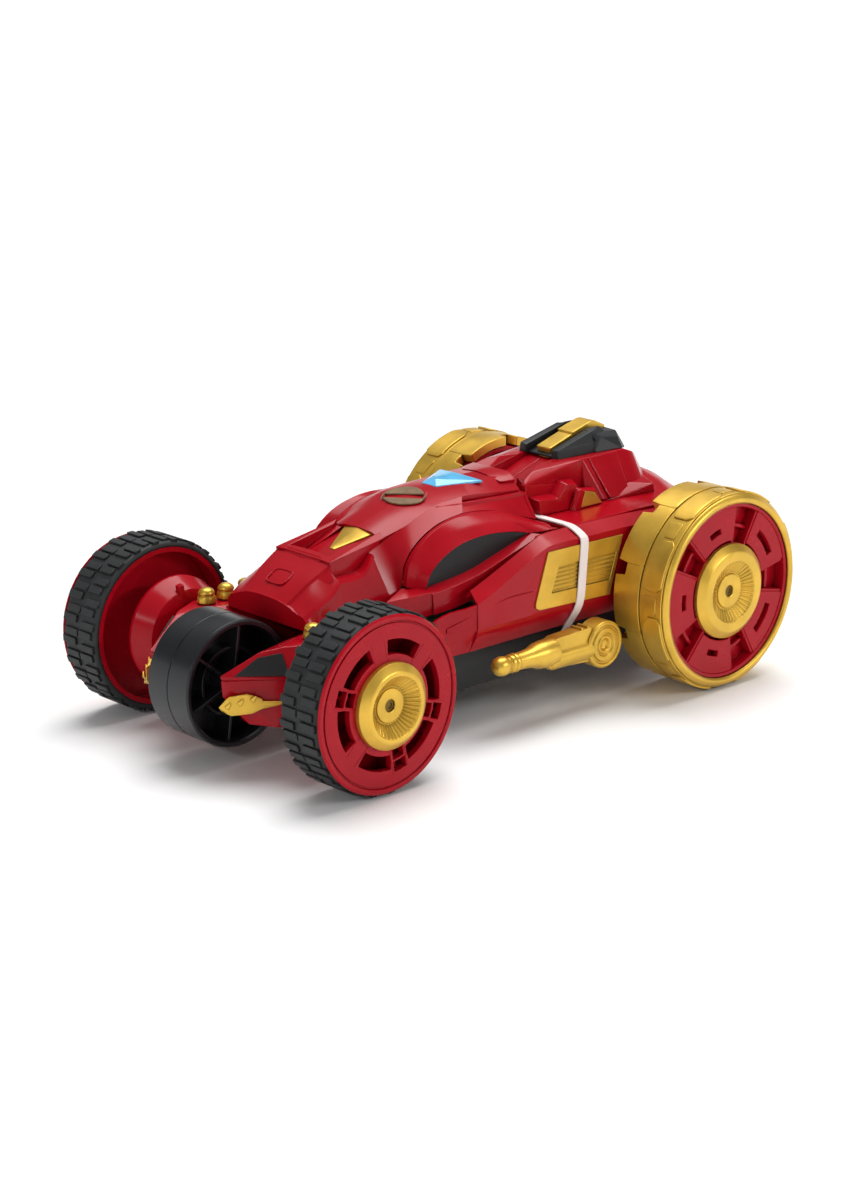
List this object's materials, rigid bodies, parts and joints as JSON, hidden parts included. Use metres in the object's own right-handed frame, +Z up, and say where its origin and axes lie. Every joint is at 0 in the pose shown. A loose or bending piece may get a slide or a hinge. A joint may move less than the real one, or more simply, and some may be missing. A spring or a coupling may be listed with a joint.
{
  "type": "rc stunt car",
  "caption": "Stunt car with large drum wheels behind, ring-tread wheels in front, an open fork holding a roller, pivoting side cannons and a turret on a wedge body.",
  "frame": {"origin": "bottom centre of the car's box, on the ground the wheels stand on", "axes": "-Y towards the front of the car, +X towards its left side, +Z up"},
  "size_m": [0.1854, 0.3048, 0.1137],
  "materials": {
    "body_red": "glossy deep red moulded plastic",
    "wheel_red": "glossy red moulded plastic",
    "tyre_rubber": "matte black soft rubber",
    "drum_gold": "satin metallic gold paint on plastic",
    "cap_gold": "satin metallic gold paint with a dark wash in the flutes",
    "cannon_gold": "satin metallic gold paint with a dark wash",
    "trim_gold": "satin metallic gold paint",
    "cap_black": "satin black plastic",
    "roller_black": "satin black plastic",
    "chassis_black": "satin black plastic",
    "window_grey": "matte dark grey plastic",
    "canopy_blue": "glossy light blue paint",
    "badge_brown": "matte olive brown inlay",
    "band_white": "off-white elastic",
    "steel": "plain turned steel",
    "motor_steel": "rolled steel motor cans",
    "board_green": "lacquered circuit board",
    "cell_wrap": "printed cell sleeve, plain",
    "gear_nylon": "natural nylon"
  },
  "bodies": {
    "car": {"battery_cells": "cell_wrap", "body_screws": "steel", "cannon_pins": "steel", "canopy_lens": "canopy_blue", "chassis_tub": "chassis_black", "circuit_board": "board_green", "drive_motors": "motor_steel", "elastic_band": "band_white", "fender_left": "body_red", "fender_right": "body_red", "fork_arm_left": "body_red", "fork_arm_right": "body_red", "fork_claws": "trim_gold", "fork_windows": "window_grey", "front_hubs": "body_red", "gear_cases": "chassis_black", "hood_badge": "badge_brown", "hood_shell": "body_red", "hood_vent_insert": "trim_gold", "nose_panel": "body_red", "rear_deck": "body_red", "roller_axle": "steel", "scoop_inserts": "trim_gold", "side_grilles": "trim_gold", "side_pod_left": "body_red", "side_pod_right": "body_red", "side_windows": "window_grey", "stud_caps": "trim_gold", "turret_cap": "cap_black", "turret_housing": "body_red", "turret_spine": "trim_gold"},
    "front_wheel_left": {"front_tyre_left": "tyre_rubber", "front_rim_left": "wheel_red", "front_cap_left": "cap_gold", "front_hub_screw_left": "steel", "front_axle_left": "steel"},
    "rear_wheel_left": {"rear_drum_left": "drum_gold", "rear_rim_left": "wheel_red", "rear_cap_left": "cap_gold", "rear_hub_screw_left": "steel", "rear_axle_left": "steel", "wheel_gear_left": "gear_nylon"},
    "pinion_left": {"motor_pinion_left": "gear_nylon"},
    "cannon_arm_left": {"cannon_left": "cannon_gold"},
    "front_wheel_right": {"front_tyre_right": "tyre_rubber", "front_rim_right": "wheel_red", "front_cap_right": "cap_gold", "front_hub_screw_right": "steel", "front_axle_right": "steel"},
    "rear_wheel_right": {"rear_drum_right": "drum_gold", "rear_rim_right": "wheel_red", "rear_cap_right": "cap_gold", "rear_hub_screw_right": "steel", "rear_axle_right": "steel", "wheel_gear_right": "gear_nylon"},
    "pinion_right": {"motor_pinion_right": "gear_nylon"},
    "cannon_arm_right": {"cannon_right": "cannon_gold"},
    "roller": {"stunt_roller": "roller_black"},
    "switch": {"power_switch": "chassis_black"},
    "door": {"battery_door": "chassis_black"}
  },
  "joints": [
    {"name": "front_left_spin", "type": "hinge", "parent": "car", "child": "front_wheel_left", "pos_m": [0.075, -0.1044, 0.04], "axis": [1, 0, 0], "continuous": true},
    {"name": "rear_left_spin", "type": "hinge", "parent": "car", "child": "rear_wheel_left", "pos_m": [0.075, 0.1055, 0.0469], "axis": [1, 0, 0], "continuous": true},
    {"name": "pinion_left_spin", "type": "hinge", "parent": "car", "child": "pinion_left", "pos_m": [0.035, 0.0839, 0.0469], "axis": [1, 0, 0], "continuous": true},
    {"name": "cannon_left_tilt", "type": "hinge", "parent": "car", "child": "cannon_arm_left", "pos_m": [0.0652, 0.0441, 0.0297], "axis": [-1, 0, 0], "range_deg": [-15, 60]},
    {"name": "front_right_spin", "type": "hinge", "parent": "car", "child": "front_wheel_right", "pos_m": [-0.075, -0.1044, 0.04], "axis": [1, 0, 0], "continuous": true},
    {"name": "rear_right_spin", "type": "hinge", "parent": "car", "child": "rear_wheel_right", "pos_m": [-0.075, 0.1055, 0.0469], "axis": [1, 0, 0], "continuous": true},
    {"name": "pinion_right_spin", "type": "hinge", "parent": "car", "child": "pinion_right", "pos_m": [-0.035, 0.0839, 0.0469], "axis": [1, 0, 0], "continuous": true},
    {"name": "cannon_right_tilt", "type": "hinge", "parent": "car", "child": "cannon_arm_right", "pos_m": [-0.0652, 0.0441, 0.0297], "axis": [-1, 0, 0], "range_deg": [-15, 60]},
    {"name": "roller_spin", "type": "hinge", "parent": "car", "child": "roller", "pos_m": [0, -0.1241, 0.0357], "axis": [1, 0, 0], "continuous": true},
    {"name": "switch_slide", "type": "slide", "parent": "car", "child": "switch", "axis": [0, 1, 0], "range_m": [0, 0.005]},
    {"name": "battery_door_off", "type": "slide", "parent": "car", "child": "door", "axis": [0, 0, -1], "range_m": [0, 0.012]}
  ],
  "couplings": [
    {"joint": "pinion_left_spin", "follows": "rear_left_spin", "ratio": -3.5},
    {"joint": "pinion_right_spin", "follows": "rear_right_spin", "ratio": -3.5}
  ]
}
